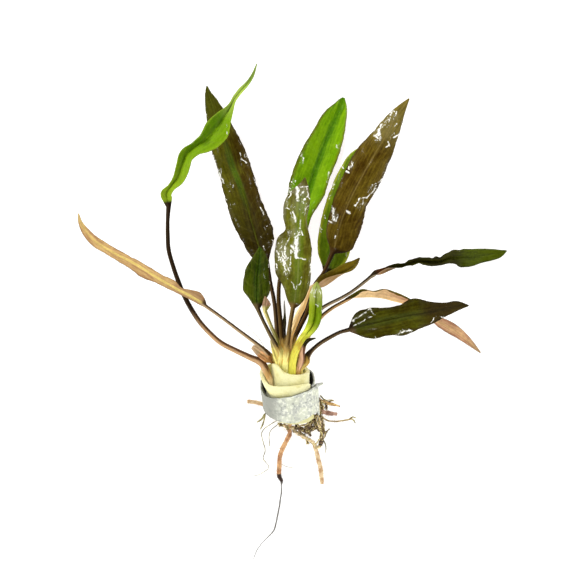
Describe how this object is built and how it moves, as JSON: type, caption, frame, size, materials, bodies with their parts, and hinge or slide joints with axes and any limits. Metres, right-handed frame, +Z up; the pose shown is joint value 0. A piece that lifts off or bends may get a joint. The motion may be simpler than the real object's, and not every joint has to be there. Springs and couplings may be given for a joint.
{
  "type": "cryptocoryne",
  "caption": "Bare-root bunch of cryptocoryne lying down: long-stalked leaves in green and brown, bases wrapped in foam and a soft metal weight strip, roots below.",
  "frame": {"origin": "centre of the lying bunch's box, on the surface that it rests on", "axes": "+Z up, away from the surface; +Y along the bunch, from the roots to the leaf tips; +X to the right, seen from above"},
  "size_m": [0.1931, 0.2234, 0.0398],
  "materials": {
    "leaf_bright_green": "wet leaf, translucent bright green, glossy",
    "leaf_brown_green": "wet leaf, brown-green, glossy",
    "leaf_dark_green": "wet leaf, dark green, glossy",
    "leaf_tan_pink": "leaf underside, pink-tan with a yellow midrib, satin",
    "leaf_yellow_green": "young leaf, yellow-green, glossy",
    "dead_leaf": "dark, dead plant tissue",
    "crown": "rough rhizome",
    "root": "tan root, satin",
    "root_tangle": "dark fine roots and dirt",
    "foam": "soft open-cell foam, cream",
    "strip": "soft grey metal, dull and pitted"
  },
  "bodies": {
    "root": {"leaf_curled_left": "leaf_bright_green", "leaf_long_left": "leaf_tan_pink", "leaf_rear_left": "leaf_brown_green", "leaf_short_dark": "leaf_dark_green", "leaf_front_mottled": "leaf_dark_green", "leaf_rear_bright": "leaf_bright_green", "leaf_rear_right": "leaf_yellow_green", "leaf_broad_brown": "leaf_brown_green", "leaf_short_folded": "leaf_brown_green", "leaf_long_right": "leaf_dark_green", "leaf_tan_right": "leaf_tan_pink", "leaf_broad_right": "leaf_brown_green", "leaf_young": "leaf_yellow_green", "leaf_scale": "dead_leaf", "leaf_bud": "leaf_tan_pink", "stalk_dead": "dead_leaf", "crown": "crown", "foam_band": "foam", "weight_strip": "strip", "root_long": "root", "root_pale": "root", "root_left": "root", "root_mat": "root_tangle", "root_mat_base": "root_tangle", "root_tan_right": "root", "root_brown_right": "root", "root_thin_right": "root"}
  },
  "joints": []
}
